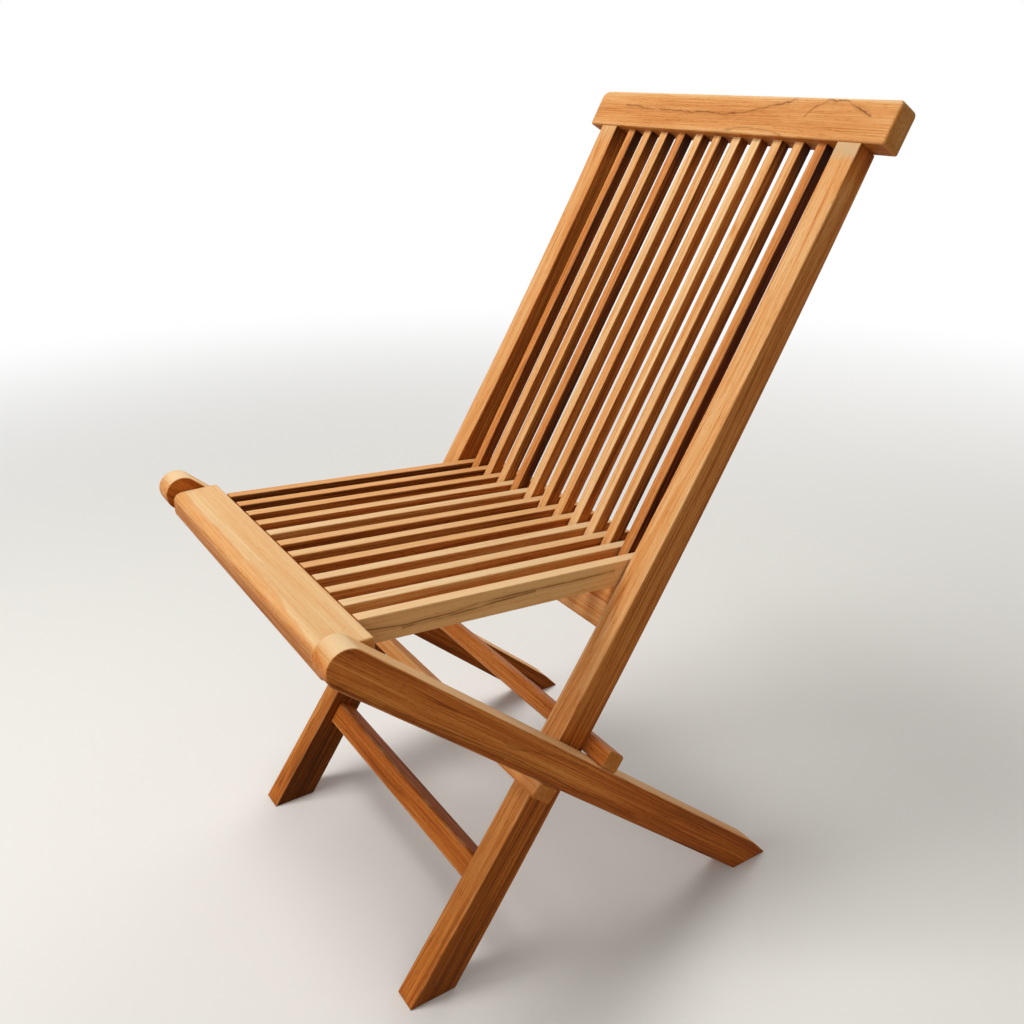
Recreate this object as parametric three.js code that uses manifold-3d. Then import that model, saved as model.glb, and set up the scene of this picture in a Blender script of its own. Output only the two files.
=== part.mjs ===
// Folding teak armchair without arms: two bowed stiles that are also the front legs, two straight rear legs that
// cross them, a slatted back and a slatted seat. Millimetres, +Z up. The sitter looks along -Y, so the sitter's
// left is +X. The part stands on z = 0, with the origin under the middle of its box.

import * as THREE from 'three';
import { mergeVertices } from 'three/addons/utils/BufferGeometryUtils.js';
import Module from 'manifold-3d';

const wasm = await Module();
wasm.setup();

const degree = Math.PI / 180;

// The whole chair
const overallWidth = 487;
const overallHeight = 884;
const fit = 0.3; // gap in every glued, seated or sliding joint
const overrun = 40; // how far a blank runs past the plane that trims it
const slatPitchAim = 31; // the slats' number follows from it

// Stiles: the front face is a parabola, upright enough to sit against, and the depth tapers to the head
const footLean = 35.83 * degree;
const headLean = 30.07 * degree;
const stileWidth = 30.1;
const stileFootDepth = 45.4;
const stileHeadDepth = 27.6;
const stileEase = 2.3;
const stileSteps = 18;
const stileTenonLength = 25;
const stileTenonShoulder = 7.5;

// Top rail
const topRailOverhang = 26.8; // past each stile
const topRailFace = 46.6;
const topRailCornerRadius = 8;
const topRailEase = 3;

// Back slats
const backSlatWidth = 12.85;
const backSlatDepth = 14.2;
const backSlatHeadInset = 7.1; // behind the front of the stiles, at the top rail
const backSlatSetback = 5.8; // level, behind the lower rail's upper arris
const backSlatEase = 1.4;
const backSlatTenonLength = 12;
const backSlatTenonShoulder = 2.4;

// Lower back rail, which the back slats stand in and the seat slats rest on
const lowerRailFace = 52.5;
const lowerRailThickness = 22;
const climbCount = 12;
const lowerRailRadius = 3;
const lowerRailInset = 6.93; // behind the front of the stiles

// Front stretcher between the stiles
const stretcherHeight = 123.3;
const stretcherFace = 29.6;
const stretcherThickness = 23.4;
const stretcherInset = 12;
const stretcherRadius = 4;

// Tenons at the ends of both rails between the stiles
const railTenonLength = 16;
const railTenonShoulder = 5;

// Rear legs
const legWidth = 30.5;
const legDepth = 39.9;
const legSlope = 41.67 * degree; // below the level
const legReach = 328.1; // from the crossing to the middle of the round upper end
const legEase = 2.2;
const legRoundSteps = 16;
const heelEaseLength = 35; // the back of the foot is eased from here up
const heelEaseSole = 6.2;

// Crossing of stile and rear leg
const crossingHeight = 252; // of the stile's front face, square to the crossing
const sideGap = 3.3;
const pinRadius = 5;
const pinEmbed = 20;
const pinSteps = 24;
const washerRadius = 15;

// Stop bars across the rear legs, which meet the stiles when the chair is open
const upperBarFace = 25;
const upperBarDepth = 20.5;
const lowerBarFace = 28;
const lowerBarDepth = 17.5;
const lowerBarPlay = 3; // to the stiles, while the upper bar rests on them
const stopBarRadius = 3;
const stopBarEase = 1.5;
const dowelRadius = 4;
const dowelEmbed = 20; // into the leg
const dowelCover = 5; // wood left over its outer end

// Seat
const seatTilt = 4.68 * degree;
const seatPivotReach = 14; // from the middle of the leg's round end, down the leg
const seatRise = 15.55; // from the pivot to the seat's top, square to it
const seatSideClearance = 0.5;
const frontRailWidth = 53.2;
const frontRailDepth = 28.6;
const frontRailNose = 23.7; // in front of the pivot
const noseTopRadius = 11;
const noseBottomRadius = 6;
const frontRailHeelRadius = 3;
const frontRailEase = 2;
const seatPinRadius = 4;
const seatSlatWidth = 13.3;
const seatSlatDepth = 28.5;
const seatEdgeClearance = 2.175; // from the outer slats to the stiles
const seatSlatEase = 1.8;
const seatSlatEndRadius = 5;
const seatSlatTenonLength = 14;
const seatSlatTenonShoulder = 2.6;
const seatSlatTenonInset = 7; // from the slat's top and underside
const seatOverhang = 66; // level, from the lower rail's upper arris to the rear ends of the slats
const rearRailWidth = 17;
const rearRailDrop = 13; // below the seat's top
const rearRailRadius = 2;
const rearRailEase = 1.2;

// What follows from the sizes above
const legOuterX = overallWidth / 2;
const legInnerX = legOuterX - legWidth;
const stileOuterX = legInnerX - sideGap;
const stileInnerX = stileOuterX - stileWidth;
const seatSpan = 2 * (stileInnerX - seatEdgeClearance) - seatSlatWidth;
const backSlatCount = Math.round(seatSpan / slatPitchAim);
const seatSlatCount = backSlatCount + 1;
const slatPitch = seatSpan / backSlatCount;
const topRailLength = 2 * (stileOuterX + topRailOverhang);
const headHeight = overallHeight - topRailFace * Math.cos(headLean);

// A side-plane point is a Vector2 of (Y, Z). At a lean from the upright, up runs along it and inward runs
// square to it, to the rear.
function up(lean) {
  return new THREE.Vector2(Math.sin(lean), Math.cos(lean));
}

function inward(lean) {
  return new THREE.Vector2(Math.cos(lean), -Math.sin(lean));
}

function leaned(origin, lean, along, depth) {
  return origin.clone().addScaledVector(up(lean), along).addScaledVector(inward(lean), depth);
}

// The four corners of a bar's section, from low to high along the lean and from front to rear
function section(origin, lean, [low, high], [front, rear], grow = 0) {
  return [
    leaned(origin, lean, low - grow, front - grow),
    leaned(origin, lean, low - grow, rear + grow),
    leaned(origin, lean, high + grow, rear + grow),
    leaned(origin, lean, high + grow, front - grow),
  ];
}

// An outline with each corner rounded from its own distance
function rounded(corners, radii) {
  const shape = new THREE.Shape();
  corners.forEach((corner, index) => {
    const before = corners[(index + corners.length - 1) % corners.length];
    const after = corners[(index + 1) % corners.length];
    if (radii[index] === 0) {
      return index === 0 ? shape.moveTo(corner.x, corner.y) : shape.lineTo(corner.x, corner.y);
    }
    const start = corner.clone().addScaledVector(before.clone().sub(corner).normalize(), radii[index]);
    const end = corner.clone().addScaledVector(after.clone().sub(corner).normalize(), radii[index]);
    if (index === 0) {
      shape.moveTo(start.x, start.y);
    } else {
      shape.lineTo(start.x, start.y);
    }
    return shape.quadraticCurveTo(corner.x, corner.y, end.x, end.y);
  });
  shape.closePath();
  return shape;
}

function evenlyRounded(corners, radius) {
  return rounded(corners, corners.map(() => radius));
}

// An extrusion whose end arrises are eased inside the outline
function extruded(shape, length, ease) {
  const geometry = new THREE.ExtrudeGeometry(shape, {
    depth: length - 2 * ease,
    steps: 1,
    curveSegments: 4,
    bevelEnabled: ease > 0,
    bevelThickness: ease,
    bevelSize: ease,
    bevelOffset: -ease,
    bevelSegments: 2,
  });
  return geometry.translate(0, 0, ease);
}

// A side-plane outline carried along X from x0 to x1
function across(outline, [x0, x1], ease = 0) {
  const shape = Array.isArray(outline) ? new THREE.Shape(outline) : outline;
  const sidePlane = new THREE.Matrix4().makeBasis(
    new THREE.Vector3(0, 1, 0),
    new THREE.Vector3(0, 0, 1),
    new THREE.Vector3(1, 0, 0),
  );
  return extruded(shape, x1 - x0, ease).applyMatrix4(sidePlane).translate(x0, 0, 0);
}

function onSide(side, near, far) {
  return side > 0 ? [near, far] : [-far, -near];
}

function centred(middle, width) {
  return [middle - width / 2, middle + width / 2];
}

// A round bar between two distances out along X, on the axis through a side-plane point
function roundAcross(centre, radius, [x0, x1]) {
  const geometry = new THREE.CylinderGeometry(radius, radius, x1 - x0, pinSteps);
  return geometry.rotateZ(Math.PI / 2).translate((x0 + x1) / 2, centre.x, centre.y);
}

function solidOf(geometry) {
  const bare = geometry.clone();
  bare.deleteAttribute('normal');
  bare.deleteAttribute('uv');
  const merged = mergeVertices(bare);
  const mesh = new wasm.Mesh({
    numProp: 3,
    vertProperties: new Float32Array(merged.attributes.position.array),
    triVerts: new Uint32Array(merged.index.array),
  });
  return new wasm.Manifold(mesh);
}

function geometryOf(solid) {
  const mesh = solid.getMesh();
  const geometry = new THREE.BufferGeometry();
  geometry.setAttribute('position', new THREE.BufferAttribute(mesh.vertProperties, 3));
  geometry.setIndex(new THREE.BufferAttribute(mesh.triVerts, 1));
  geometry.computeVertexNormals();
  return geometry;
}

// A blank trimmed by the first cuts, with tenons added, then bored and mortised
function worked(blank, { trims = [], tenons = [], holes = [] }) {
  let solid = solidOf(blank);
  for (const trim of trims) {
    solid = solid.subtract(solidOf(trim));
  }
  for (const tenon of tenons) {
    solid = solid.add(solidOf(tenon));
  }
  for (const hole of holes) {
    solid = solid.subtract(solidOf(hole));
  }
  return geometryOf(solid);
}

const chair = new THREE.Group();
const teakTones = ['#c98f4e', '#d29a58', '#bf8446', '#d8a463', '#c68a4a', '#cf9553', '#b97c40'];

function addPiece(name, geometry, colour, roughness, metalness) {
  const material = new THREE.MeshStandardMaterial({ color: colour, roughness, metalness });
  const mesh = new THREE.Mesh(geometry, material);
  mesh.name = name;
  chair.add(mesh);
}

function addTeak(name, geometry) {
  addPiece(name, geometry, teakTones[chair.children.length % teakTones.length], 0.62, 0);
}

function addBrass(name, geometry) {
  addPiece(name, geometry, '#b5924c', 0.35, 1);
}

function numbered(name, index) {
  return `${name}_${String(index + 1).padStart(2, '0')}`;
}

const sides = [
  { side: 1, hand: 'left' },
  { side: -1, hand: 'right' },
];

// Stile geometry: a share of 0 is the front face and 1 the rear face
function leanAt(height) {
  return Math.atan(THREE.MathUtils.lerp(Math.tan(footLean), Math.tan(headLean), height / headHeight));
}

function stilePoint(height, depthShare) {
  const meanSlope = THREE.MathUtils.lerp(Math.tan(footLean), Math.tan(headLean), height / headHeight / 2);
  const depth = THREE.MathUtils.lerp(stileFootDepth, stileHeadDepth, height / headHeight);
  return new THREE.Vector2(meanSlope * height, height).addScaledVector(inward(leanAt(height)), depth * depthShare);
}

const head = stilePoint(headHeight, 0);
const crossing = stilePoint(crossingHeight, 1 / 2);
const crossingLean = leanAt(crossingHeight);
const stileMiddleX = (stileInnerX + stileOuterX) / 2;

// Leg geometry: a place along the leg runs down from the crossing, and a rise is square to it, upward
function legPoint(along, rise) {
  return leaned(crossing, legSlope, rise, along);
}

const legMiddleX = (legInnerX + legOuterX) / 2;
const legEnd = legPoint(-legReach, 0);
const seatPivot = legPoint(seatPivotReach - legReach, 0);

// Seat geometry: a level reach behind the pivot, and a rise square to the seat's top
function seatPoint(reach, rise) {
  const height = (rise - Math.sin(seatTilt) * reach) / Math.cos(seatTilt);
  return new THREE.Vector2(seatPivot.x + reach, seatPivot.y + height);
}

function seatSection([near, far], [low, high], grow = 0) {
  return [
    seatPoint(near - grow, low - grow),
    seatPoint(far + grow, low - grow),
    seatPoint(far + grow, high + grow),
    seatPoint(near - grow, high + grow),
  ];
}

const seatUnderside = seatRise - seatSlatDepth;
const frontRailHeel = frontRailWidth - frontRailNose;
const frontRailHalfLength = legInnerX - seatSideClearance;

// The lower back rail's upper front arris, just under the seat slats: a climb up the stile ends where it meets them
function restOfSeat() {
  let rest = crossing;
  for (let climb = 0; climb < climbCount; climb += 1) {
    const height = rest.y + lowerRailInset * Math.sin(leanAt(rest.y));
    const onStile = leaned(stilePoint(height, 0), leanAt(height), 0, lowerRailInset);
    rest = new THREE.Vector2(onStile.x, seatPoint(onStile.x - seatPivot.x, seatUnderside - fit).y);
  }
  return rest;
}

// The back slats stand behind that arris
const lowerRailArris = restOfSeat();
const seatReach = lowerRailArris.x - seatPivot.x + seatOverhang;
const slatHead = leaned(head, headLean, 0, backSlatHeadInset);
const slatFoot = new THREE.Vector2(lowerRailArris.x + backSlatSetback, lowerRailArris.y);
const slatLean = Math.atan2(slatHead.x - slatFoot.x, slatHead.y - slatFoot.y);
const lowerRailAlong = [-lowerRailFace, 0];
const lowerRailAcross = [0, lowerRailThickness];
const stretcherLean = leanAt(stretcherHeight);
const stretcherCorner = leaned(stilePoint(stretcherHeight, 0), stretcherLean, 0, stretcherInset);
const stretcherAlong = centred(0, stretcherFace);
const stretcherAcross = [0, stretcherThickness];

function insetRange([low, high], inset) {
  return [low + inset, high - inset];
}

function lowerRailTenon(grow) {
  const along = insetRange(lowerRailAlong, railTenonShoulder);
  return section(lowerRailArris, slatLean, along, insetRange(lowerRailAcross, railTenonShoulder), grow);
}

function stretcherTenon(grow) {
  const along = insetRange(stretcherAlong, railTenonShoulder);
  return section(stretcherCorner, stretcherLean, along, insetRange(stretcherAcross, railTenonShoulder), grow);
}

function stileTenon(grow) {
  return section(head, headLean, [-stileTenonLength, stileTenonLength], [
    stileTenonShoulder,
    stileHeadDepth - stileTenonShoulder,
  ], grow);
}

function stileTenonWidth(side, grow) {
  return centred(side * stileMiddleX, stileWidth - 2 * stileTenonShoulder + 2 * grow);
}

// What the floor and the top rail's underside trim off
const everywhere = [-overallHeight, overallHeight];
const fullWidth = [-overallWidth, overallWidth];
const belowFloor = [
  new THREE.Vector2(-overallHeight, -overallHeight),
  new THREE.Vector2(overallHeight, -overallHeight),
  new THREE.Vector2(overallHeight, 0),
  new THREE.Vector2(-overallHeight, 0),
];
const aboveHead = section(head, headLean, [-fit, overallHeight], everywhere);

function makeStile(side) {
  const front = [];
  const rear = [];
  for (let step = 0; step <= stileSteps; step += 1) {
    const height = THREE.MathUtils.lerp(-overrun, headHeight + overrun, step / stileSteps);
    front.push(stilePoint(height, 0));
    rear.unshift(stilePoint(height, 1));
  }
  const blank = across([...front, ...rear], onSide(side, stileInnerX, stileOuterX), stileEase);
  const mortise = onSide(side, stileInnerX - overrun, stileInnerX + railTenonLength + fit);
  const bore = onSide(side, stileOuterX - pinEmbed, stileOuterX + overrun);
  return worked(blank, {
    trims: [across(belowFloor, fullWidth), across(aboveHead, fullWidth)],
    tenons: [across(stileTenon(0), stileTenonWidth(side, 0))],
    holes: [
      across(lowerRailTenon(fit), mortise),
      across(stretcherTenon(fit), mortise),
      roundAcross(crossing, pinRadius + fit, bore),
    ],
  });
}

// A back slat runs from the lower rail's top to the top rail's underside, with a stub tenon at each end
function backSlatX(index) {
  return (index - (backSlatCount - 1) / 2) * slatPitch;
}

const backSlatLength = slatHead.distanceTo(slatFoot);

function backSlatTenons(grow) {
  const run = [-backSlatTenonLength, backSlatLength + backSlatTenonLength];
  const depth = insetRange([0, backSlatDepth], backSlatTenonShoulder);
  return section(slatFoot, slatLean, run, depth, grow);
}

function backSlatTenonWidth(index, grow) {
  return centred(backSlatX(index), backSlatWidth - 2 * backSlatTenonShoulder + 2 * grow);
}

function makeBackSlat(index) {
  const run = [-overrun, backSlatLength + overrun];
  const outline = section(slatFoot, slatLean, run, [0, backSlatDepth]);
  const blank = across(outline, centred(backSlatX(index), backSlatWidth), backSlatEase);
  const belowShoulder = section(lowerRailArris, slatLean, [-overallHeight, fit], everywhere);
  return worked(blank, {
    trims: [across(aboveHead, fullWidth), across(belowShoulder, fullWidth)],
    tenons: [across(backSlatTenons(0), backSlatTenonWidth(index, 0))],
  });
}

function backSlatMortises() {
  const mortises = [];
  for (let index = 0; index < backSlatCount; index += 1) {
    mortises.push(across(backSlatTenons(fit), backSlatTenonWidth(index, fit)));
  }
  return mortises;
}

// The top rail's face is drawn flat, extruded through its thickness and leaned onto the stiles' heads
function makeTopRail() {
  const halfLength = topRailLength / 2;
  const face = rounded([
    new THREE.Vector2(-halfLength, 0),
    new THREE.Vector2(halfLength, 0),
    new THREE.Vector2(halfLength, topRailFace),
    new THREE.Vector2(-halfLength, topRailFace),
  ], [0, 0, topRailCornerRadius, topRailCornerRadius]);
  const upward = up(headLean);
  const rearward = inward(headLean);
  const placed = new THREE.Matrix4().makeBasis(
    new THREE.Vector3(-1, 0, 0),
    new THREE.Vector3(0, upward.x, upward.y),
    new THREE.Vector3(0, rearward.x, rearward.y),
  );
  placed.setPosition(0, head.x, head.y);
  const blank = extruded(face, stileHeadDepth, topRailEase).applyMatrix4(placed);
  const stileMortises = sides.map(({ side }) => across(stileTenon(fit), stileTenonWidth(side, fit)));
  return worked(blank, { holes: [...stileMortises, ...backSlatMortises()] });
}

function makeLowerRail() {
  const corners = section(lowerRailArris, slatLean, lowerRailAlong, lowerRailAcross);
  const length = centred(0, 2 * (stileInnerX - fit));
  const tenonLength = centred(0, 2 * (stileInnerX + railTenonLength));
  return worked(across(evenlyRounded(corners, lowerRailRadius), length), {
    tenons: [across(lowerRailTenon(0), tenonLength)],
    holes: backSlatMortises(),
  });
}

function makeStretcher() {
  const corners = section(stretcherCorner, stretcherLean, stretcherAlong, stretcherAcross);
  const length = centred(0, 2 * (stileInnerX - fit));
  const tenonLength = centred(0, 2 * (stileInnerX + railTenonLength));
  return worked(across(evenlyRounded(corners, stretcherRadius), length), {
    tenons: [across(stretcherTenon(0), tenonLength)],
  });
}

// Along the leg, where a face parallel to the stile and a reach behind the crossing passes a rise
function alongAtStile(rise, reach) {
  const turn = legSlope - crossingLean;
  return (reach - rise * Math.sin(turn)) / Math.cos(turn);
}

const halfStileDepth = stilePoint(crossingHeight, 0).distanceTo(stilePoint(crossingHeight, 1)) / 2;
const barSeat = legDepth / 2 + fit; // rise of the face that lies on the leg's edge
const upperBarFront = alongAtStile(barSeat, halfStileDepth + fit);
const lowerBarRear = alongAtStile(-barSeat, -halfStileDepth - lowerBarPlay);

// Each stop bar is held at both ends by a dowel that stands square to the leg's edge
const stopBars = [
  { bar: 'upper', edge: 1, middle: upperBarFront + upperBarFace / 2, depth: upperBarDepth },
  { bar: 'lower', edge: -1, middle: lowerBarRear - lowerBarFace / 2, depth: lowerBarDepth },
];

function makeDowel(side, { edge, middle, depth }, grow) {
  const inner = legDepth / 2 - dowelEmbed - grow;
  const outer = barSeat + depth - dowelCover + grow;
  const centre = legPoint(middle, edge * (inner + outer) / 2);
  const geometry = new THREE.CylinderGeometry(dowelRadius + grow, dowelRadius + grow, outer - inner, pinSteps);
  return geometry.rotateX(Math.PI / 2 - legSlope).translate(side * legMiddleX, centre.x, centre.y);
}

// The upper bar's faces follow the stile, and the lower bar is square to the leg
function makeUpperStopBar() {
  const top = barSeat + upperBarDepth;
  const topFront = alongAtStile(top, halfStileDepth + fit);
  const corners = [
    legPoint(upperBarFront, barSeat),
    legPoint(upperBarFront + upperBarFace, barSeat),
    legPoint(topFront + upperBarFace, top),
    legPoint(topFront, top),
  ];
  return makeStopBar(corners, stopBars[0]);
}

function makeLowerStopBar() {
  const corners = [
    legPoint(lowerBarRear, -barSeat),
    legPoint(lowerBarRear - lowerBarFace, -barSeat),
    legPoint(lowerBarRear - lowerBarFace, -barSeat - lowerBarDepth),
    legPoint(lowerBarRear, -barSeat - lowerBarDepth),
  ];
  return makeStopBar(corners, stopBars[1]);
}

function makeStopBar(corners, stopBar) {
  const blank = across(evenlyRounded(corners, stopBarRadius), centred(0, overallWidth), stopBarEase);
  return worked(blank, { holes: sides.map(({ side }) => makeDowel(side, stopBar, fit)) });
}

// A rear leg is round at its upper end, and the back of its foot is eased off
function makeLeg(side) {
  const half = legDepth / 2;
  const toeAlong = (crossing.y + half * Math.cos(legSlope)) / Math.sin(legSlope);
  const toe = legPoint(toeAlong, half);
  const easeStart = legPoint(toeAlong - heelEaseLength, half);
  const easeEnd = new THREE.Vector2(toe.x - heelEaseSole, 0);
  const outline = [legPoint(toeAlong, -half), easeStart.clone().lerp(easeEnd, 2), easeStart];
  for (let step = 0; step <= legRoundSteps; step += 1) {
    const turn = Math.PI * step / legRoundSteps;
    outline.push(leaned(legEnd, legSlope, half * Math.cos(turn), -half * Math.sin(turn)));
  }
  const blank = across(outline, onSide(side, legInnerX, legOuterX), legEase);
  const bore = onSide(side, legInnerX - overrun, legInnerX + pinEmbed);
  return worked(blank, {
    trims: [across(belowFloor, fullWidth)],
    holes: [
      roundAcross(crossing, pinRadius + fit, bore),
      roundAcross(seatPivot, seatPinRadius + fit, bore),
      ...stopBars.map((stopBar) => makeDowel(side, stopBar, fit)),
    ],
  });
}

// Blind pins join stile and leg, and leg and front rail
function makeCrossingPin(side) {
  const ends = onSide(side, stileOuterX - pinEmbed + fit, legInnerX + pinEmbed - fit);
  return roundAcross(crossing, pinRadius, ends);
}

function makeSeatPin(side) {
  const ends = onSide(side, frontRailHalfLength - pinEmbed + fit, legInnerX + pinEmbed - fit);
  return roundAcross(seatPivot, seatPinRadius, ends);
}

function makeCrossingWasher(side) {
  const faces = onSide(side, stileOuterX + fit, legInnerX - fit);
  return worked(roundAcross(crossing, washerRadius, faces), {
    holes: [roundAcross(crossing, pinRadius + fit, fullWidth)],
  });
}

// Seat slats
function seatSlatX(index) {
  return (index - (seatSlatCount - 1) / 2) * slatPitch;
}

function seatSlatTenon(index, grow) {
  const run = [frontRailHeel - seatSlatTenonLength, frontRailHeel + seatSlatTenonLength];
  const width = seatSlatWidth - 2 * seatSlatTenonShoulder + 2 * grow;
  const rises = insetRange([seatUnderside, seatRise], seatSlatTenonInset);
  return across(seatSection(run, rises, grow), centred(seatSlatX(index), width));
}

// A slat is notched under its rear end for the rear rail
function makeSeatSlat(index) {
  const front = frontRailHeel + fit;
  const notchFront = seatReach - rearRailWidth - fit;
  const notchTop = seatRise - rearRailDrop + fit;
  const outline = rounded([
    seatPoint(front, seatUnderside),
    seatPoint(notchFront, seatUnderside),
    seatPoint(notchFront, notchTop),
    seatPoint(seatReach, notchTop),
    seatPoint(seatReach, seatRise),
    seatPoint(front, seatRise),
  ], [0, 0, 0, 0, seatSlatEndRadius, 0]);
  const blank = across(outline, centred(seatSlatX(index), seatSlatWidth), seatSlatEase);
  return worked(blank, { tenons: [seatSlatTenon(index, 0)] });
}

// The front rail lies level, with a round nose, and the seat falls away behind it
function makeFrontRail() {
  const heelTop = seatPoint(frontRailHeel, seatRise);
  const nose = seatPivot.x - frontRailNose;
  const underside = heelTop.y - frontRailDepth;
  const outline = rounded([
    new THREE.Vector2(nose, underside),
    new THREE.Vector2(heelTop.x, underside),
    heelTop,
    new THREE.Vector2(nose, heelTop.y),
  ], [noseBottomRadius, frontRailHeelRadius, frontRailHeelRadius, noseTopRadius]);
  const mortises = [];
  for (let index = 0; index < seatSlatCount; index += 1) {
    mortises.push(seatSlatTenon(index, fit));
  }
  const bores = sides.map(({ side }) => {
    const ends = onSide(side, frontRailHalfLength - pinEmbed, frontRailHalfLength + overrun);
    return roundAcross(seatPivot, seatPinRadius + fit, ends);
  });
  const blank = across(outline, centred(0, 2 * frontRailHalfLength), frontRailEase);
  return worked(blank, { holes: [...mortises, ...bores] });
}

function makeRearRail() {
  const corners = seatSection([seatReach - rearRailWidth, seatReach], [seatUnderside, seatRise - rearRailDrop]);
  const length = (seatSlatCount - 1) * slatPitch + seatSlatWidth;
  return across(evenlyRounded(corners, rearRailRadius), centred(0, length), rearRailEase);
}

// Back frame
for (const { side, hand } of sides) {
  addTeak(`stile_${hand}`, makeStile(side));
}
addTeak('top_rail', makeTopRail());
addTeak('lower_back_rail', makeLowerRail());
addTeak('front_stretcher', makeStretcher());
for (let index = 0; index < backSlatCount; index += 1) {
  addTeak(numbered('back_slat', index), makeBackSlat(index));
}
for (const { side, hand } of sides) {
  addBrass(`crossing_pin_${hand}`, makeCrossingPin(side));
  addBrass(`crossing_washer_${hand}`, makeCrossingWasher(side));
}

// Leg frame
for (const { side, hand } of sides) {
  addTeak(`leg_${hand}`, makeLeg(side));
}
addTeak('upper_stop_bar', makeUpperStopBar());
addTeak('lower_stop_bar', makeLowerStopBar());
for (const stopBar of stopBars) {
  for (const { side, hand } of sides) {
    addTeak(`${stopBar.bar}_bar_dowel_${hand}`, makeDowel(side, stopBar, 0));
  }
}
for (const { side, hand } of sides) {
  addBrass(`seat_pin_${hand}`, makeSeatPin(side));
}

// Seat
addTeak('seat_front_rail', makeFrontRail());
addTeak('seat_rear_rail', makeRearRail());
for (let index = 0; index < seatSlatCount; index += 1) {
  addTeak(numbered('seat_slat', index), makeSeatSlat(index));
}

// The middle of the box, front to rear, comes over the origin
const box = new THREE.Box3().setFromObject(chair);
chair.position.y = -(box.min.y + box.max.y) / 2;
chair.updateMatrixWorld(true);

export default chair;
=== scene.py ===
import math

import bpy
import numpy as np
from mathutils import Matrix, Vector


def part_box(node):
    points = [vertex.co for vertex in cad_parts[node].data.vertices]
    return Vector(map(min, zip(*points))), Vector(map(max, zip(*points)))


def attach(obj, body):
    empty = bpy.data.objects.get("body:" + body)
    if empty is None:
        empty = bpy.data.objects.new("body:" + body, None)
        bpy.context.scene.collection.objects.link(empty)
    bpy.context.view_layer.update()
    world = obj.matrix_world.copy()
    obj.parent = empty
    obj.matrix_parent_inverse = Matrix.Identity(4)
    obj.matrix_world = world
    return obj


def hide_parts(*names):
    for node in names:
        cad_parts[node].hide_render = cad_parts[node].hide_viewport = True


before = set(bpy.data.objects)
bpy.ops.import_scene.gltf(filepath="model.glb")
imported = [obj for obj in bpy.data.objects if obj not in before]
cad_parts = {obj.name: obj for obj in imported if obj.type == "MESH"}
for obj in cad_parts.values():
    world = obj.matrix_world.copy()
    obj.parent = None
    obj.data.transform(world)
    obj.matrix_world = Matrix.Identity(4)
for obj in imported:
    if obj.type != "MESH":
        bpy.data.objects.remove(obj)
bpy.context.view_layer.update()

# Camera
# The chair is seen from its front left, from a little above the top rail's level, through a lens of about
# 36 mm on a 36 mm sensor. The view is rolled by less than half a degree.
CAMERA_PLACE = Vector((0.9268, -0.5915, 0.9192))
CAMERA_AZIMUTH = math.radians(57.18)
CAMERA_ELEVATION = math.radians(23.70)
CAMERA_ROLL = math.radians(-0.425)
SENSOR_MM = 36
FOCAL_MM = 36.04


def aim_camera():
    """Puts the camera at its place, looking along the azimuth and down by the elevation, then rolled."""
    level = Vector((math.cos(CAMERA_AZIMUTH), math.sin(CAMERA_AZIMUTH), 0))
    ahead = Vector((-level.y, level.x, 0)) * math.cos(CAMERA_ELEVATION)
    ahead.z = -math.sin(CAMERA_ELEVATION)
    upward = level.cross(ahead)
    right = math.cos(CAMERA_ROLL) * level + math.sin(CAMERA_ROLL) * upward
    top = math.cos(CAMERA_ROLL) * upward - math.sin(CAMERA_ROLL) * level
    lens = bpy.data.cameras.new("camera")
    lens.sensor_width = SENSOR_MM
    lens.lens = FOCAL_MM
    camera = bpy.data.objects.new("camera", lens)
    bpy.context.scene.collection.objects.link(camera)
    turn = Matrix((right, top, -ahead)).transposed()
    camera.matrix_world = Matrix.Translation(CAMERA_PLACE) @ turn.to_4x4()
    bpy.context.scene.camera = camera


aim_camera()

# Stiles
# Each stile is one board of oiled teak, a back upright above and a front leg below. Its front face is
# hollowed in a long curve, its depth tapers to the head, and its long arrises are sanded round.
JOINT_GAP = 0.0003
CHAIR_HEIGHT = 0.884
RAIL_FACE = 0.0466
FOOT_SLOPE = math.tan(math.radians(35.83))
HEAD_SLOPE = math.tan(math.radians(30.07))
HEAD_HEIGHT = CHAIR_HEIGHT - RAIL_FACE * math.cos(math.atan(HEAD_SLOPE))
STILE_FOOT_DEPTH = 0.0454
STILE_HEAD_DEPTH = 0.0276
STILE_ARRIS = 0.0014
STILE_EASE = 0.0012
STILE_RINGS = 90
SOLE_ROUNDS = 12
SCRAPED = {"left": 1.0, "right": 0.3}
SCRAPED_BAND = 0.0105
SCRAPED_BLUR = 0.001
FACING_FRONT = -0.5
FOOT_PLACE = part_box("stile_left")[0][1]
ARC_STEPS = 5
END_STEPS = 4
FLAT_SHARES = np.array([0.015, 0.25, 0.5, 0.75, 0.985])
CORNERS = np.array([[-1, -1], [1, -1], [1, 1], [-1, 1]])
LEAST_RADIUS = 0.00005
EASE_CLEAR = 1.05
END_INSET = 1.3
PITH_ASIDE = 0.05
PITH_NEAR, PITH_FAR = 0.03, 0.09
TRUNK_LENGTH = 40
NO_VEIN = -1.0
# Painted light and shade: when a face counts as facing the sky, how painted shade grows towards the floor,
# how much of it the outward sides get, and how far the painted shadow under the top rail reaches.
SKY_START, SKY_SPAN = 0.35, 0.55
SHADE_START, SHADE_POWER = 0.50, 1.5
OUTER_DEPTH = 0.42
RAIL_SHADOW_REACH = 0.045


def side_plane(y, z, x=0.0):
    """Points of the chair's side plane, from arrays of Y and Z, at one X."""
    y, z = np.broadcast_arrays(np.asarray(y, float), np.asarray(z, float))
    return np.stack([np.full_like(y, x), y, z], axis=-1)


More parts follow.
